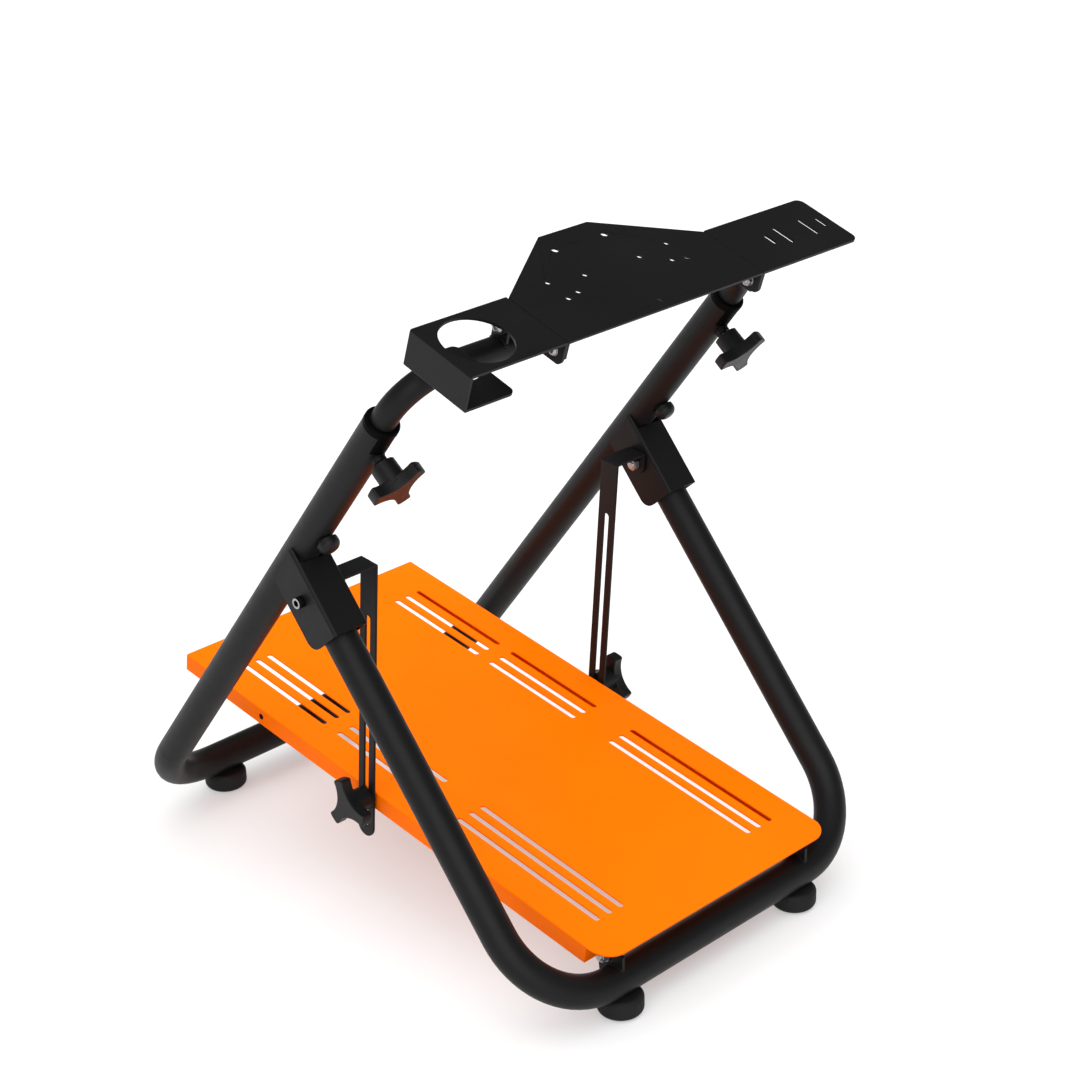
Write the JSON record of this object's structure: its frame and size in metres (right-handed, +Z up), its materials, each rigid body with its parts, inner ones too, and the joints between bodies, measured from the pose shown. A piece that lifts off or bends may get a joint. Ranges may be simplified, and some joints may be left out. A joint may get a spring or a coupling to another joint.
{
  "type": "folding racing wheel stand",
  "caption": "Folding tube stand with a tilting plate for a steering wheel, side wings for a cup and a shifter, and a sloping slotted pedal plate.",
  "frame": {"origin": "on the floor, midway between the four feet", "axes": "+Z up, +X to the seated driver's right, +Y away from the driver"},
  "size_m": [0.5905, 0.7414, 0.7948],
  "materials": {
    "frame_black": "satin",
    "deck_black": "satin",
    "pedal_orange": "satin",
    "moulded_black": "matte",
    "zinc": "satin",
    "rubber_black": "matte"
  },
  "bodies": {
    "main_frame": {"rear_frame_tube": "frame_black", "left_pivot_bracket": "frame_black", "right_pivot_bracket": "frame_black", "left_tube_collar": "moulded_black", "right_tube_collar": "moulded_black", "left_clamp_boss": "frame_black", "right_clamp_boss": "frame_black", "left_pin_sleeve": "frame_black", "right_pin_sleeve": "frame_black", "left_pivot_bolt": "zinc", "right_pivot_bolt": "zinc", "left_rear_foot": "rubber_black", "right_rear_foot": "rubber_black"},
    "top_bar": {"top_bar_tube": "frame_black", "left_plate_tab": "frame_black", "right_plate_tab": "frame_black", "left_tilt_bolt": "zinc", "right_tilt_bolt": "zinc"},
    "wheel_deck": {"wheel_plate": "deck_black", "cup_holder_plate": "deck_black", "shifter_plate": "deck_black"},
    "front_leg": {"front_leg_tube": "frame_black", "left_front_foot": "rubber_black", "right_front_foot": "rubber_black", "left_hinge_tab": "frame_black", "right_hinge_tab": "frame_black", "left_hinge_bolt": "zinc", "right_hinge_bolt": "zinc"},
    "pedal_deck": {"pedal_plate": "pedal_orange", "left_plate_lug": "pedal_orange", "right_plate_lug": "pedal_orange"},
    "strap_left": {"left_strap": "frame_black"},
    "strap_right": {"right_strap": "frame_black"},
    "knob_height_left": {"left_height_knob": "moulded_black", "left_height_stud": "zinc"},
    "knob_height_right": {"right_height_knob": "moulded_black", "right_height_stud": "zinc"},
    "knob_strap_left": {"left_strap_knob": "moulded_black", "left_strap_stud": "zinc"},
    "knob_strap_right": {"right_strap_knob": "moulded_black", "right_strap_stud": "zinc"},
    "pin_left": {"left_lock_pin": "moulded_black"},
    "pin_right": {"right_lock_pin": "moulded_black"}
  },
  "joints": [
    {"name": "height", "type": "slide", "parent": "main_frame", "child": "top_bar", "axis": [0, -0.6115, 0.7912], "range_m": [0, 0.2]},
    {"name": "wheel_tilt", "type": "hinge", "parent": "top_bar", "child": "wheel_deck", "pos_m": [0, -0.1808, 0.7393], "axis": [1, 0, 0], "range_deg": [-17.5, 20]},
    {"name": "fold", "type": "hinge", "parent": "main_frame", "child": "front_leg", "pos_m": [0, -0.0117, 0.426], "axis": [1, 0, 0], "range_deg": [0, 70]},
    {"name": "pedal_tilt", "type": "hinge", "parent": "front_leg", "child": "pedal_deck", "pos_m": [0, -0.3293, 0.0673], "axis": [1, 0, 0], "range_deg": [0, 12]},
    {"name": "strap_left_swing", "type": "hinge", "parent": "front_leg", "child": "strap_left", "pos_m": [0, -0.0117, 0.426], "axis": [-1, 0, 0], "range_deg": [0, 3.7]},
    {"name": "strap_right_swing", "type": "hinge", "parent": "front_leg", "child": "strap_right", "pos_m": [0, -0.0117, 0.426], "axis": [-1, 0, 0], "range_deg": [0, 3.7]},
    {"name": "height_knob_left", "type": "hinge", "parent": "main_frame", "child": "knob_height_left", "pos_m": [-0.258, -0.10661, 0.62522], "axis": [0, -0.7912, -0.6115], "continuous": true},
    {"name": "height_knob_right", "type": "hinge", "parent": "main_frame", "child": "knob_height_right", "pos_m": [0.258, -0.10661, 0.62522], "axis": [0, -0.7912, -0.6115], "continuous": true},
    {"name": "strap_knob_left", "type": "hinge", "parent": "pedal_deck", "child": "knob_strap_left", "pos_m": [-0.2, 0.01318, 0.13642], "axis": [1, 0, 0], "continuous": true},
    {"name": "strap_knob_right", "type": "hinge", "parent": "pedal_deck", "child": "knob_strap_right", "pos_m": [0.2, 0.01318, 0.13642], "axis": [1, 0, 0], "continuous": true},
    {"name": "lock_pin_left", "type": "slide", "parent": "main_frame", "child": "pin_left", "axis": [0, -0.7912, -0.6115], "range_m": [0, 0.008], "stiffness_N_per_m": 800, "springref_m": -0.002},
    {"name": "lock_pin_right", "type": "slide", "parent": "main_frame", "child": "pin_right", "axis": [0, -0.7912, -0.6115], "range_m": [0, 0.008], "stiffness_N_per_m": 800, "springref_m": -0.002}
  ],
  "couplings": [
    {"joint": "strap_left_swing", "follows": "pedal_tilt", "ratio": 0.2992},
    {"joint": "strap_right_swing", "follows": "pedal_tilt", "ratio": 0.2992}
  ]
}
